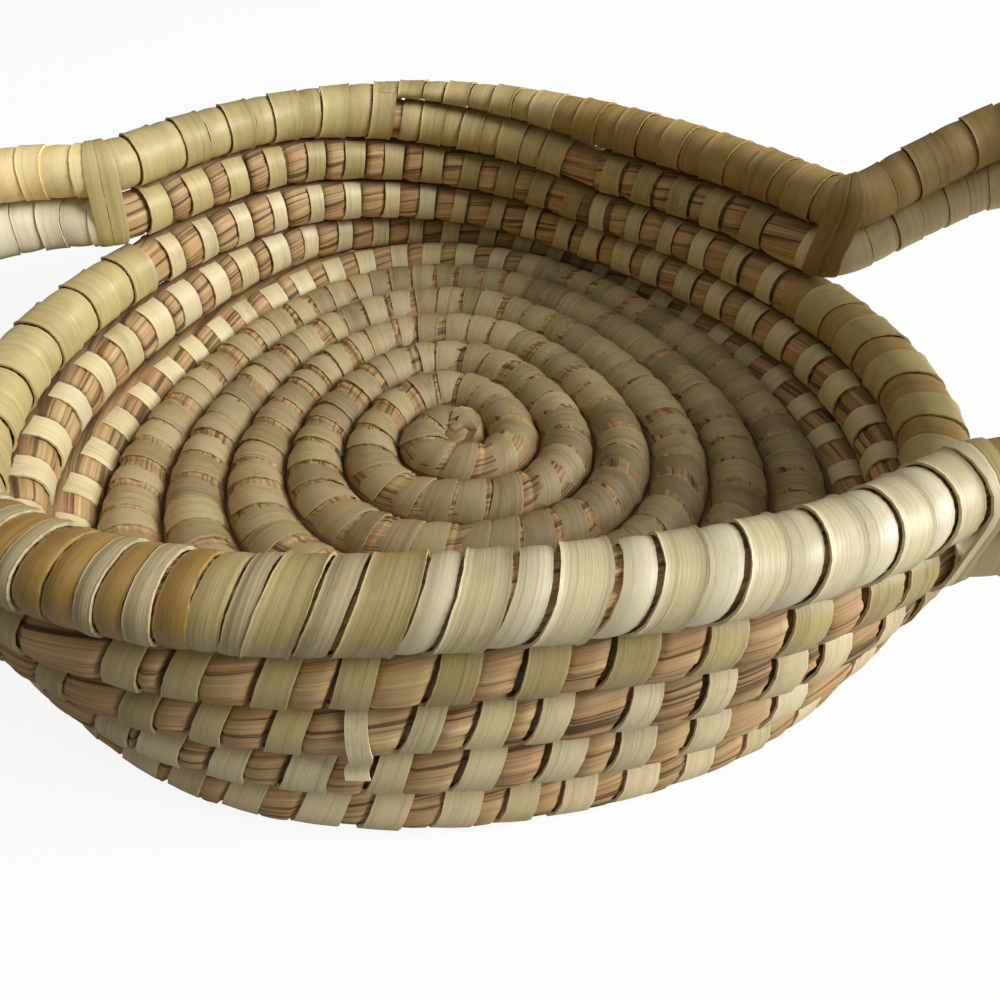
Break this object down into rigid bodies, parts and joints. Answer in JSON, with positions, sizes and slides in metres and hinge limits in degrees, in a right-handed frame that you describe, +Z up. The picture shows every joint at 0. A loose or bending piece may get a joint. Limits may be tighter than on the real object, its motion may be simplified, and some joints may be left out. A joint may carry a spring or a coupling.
{
  "type": "coiled basket",
  "caption": "Low round basket of coiled grass sewn with palm strips, flat spiral base, low wall and two bowed side handles",
  "frame": {"origin": "under the middle of the basket's whole box, on the surface that its base stands on", "axes": "X runs from the left handle to the right handle, Y runs from the front to the back, Z is up"},
  "size_m": [0.2612, 0.179, 0.0814],
  "materials": {
    "grass_bundle": "dry sweetgrass laid in a bundle, pinkish brown with fine long fibres, matt",
    "palm_strip": "dried palm leaf strip, olive straw with fine lengthwise fibres, soft sheen",
    "golden_strip": "dried palm leaf strip, golden brown and slightly glossy",
    "pale_strip": "dried palm leaf strip, pale papery cream with a grey tint",
    "brown_strip": "dried palm leaf strip, olive brown and smooth"
  },
  "bodies": {
    "root": {"base_coil": "grass_bundle", "wall_coil": "grass_bundle", "upper_coil": "grass_bundle", "rim_coil": "grass_bundle", "rim_wrap_front": "palm_strip", "rim_wrap_right": "palm_strip", "rim_wrap_left": "palm_strip", "left_side_rim_wrap": "palm_strip", "right_side_rim_wrap": "palm_strip", "left_handle_upper_wrap": "golden_strip", "left_handle_lower_wrap": "pale_strip", "right_handle_upper_wrap": "brown_strip", "right_handle_lower_wrap": "brown_strip", "left_leaving_lashing": "palm_strip", "left_rejoining_lashing": "palm_strip", "right_leaving_lashing": "palm_strip", "right_rejoining_lashing": "palm_strip"}
  },
  "joints": []
}
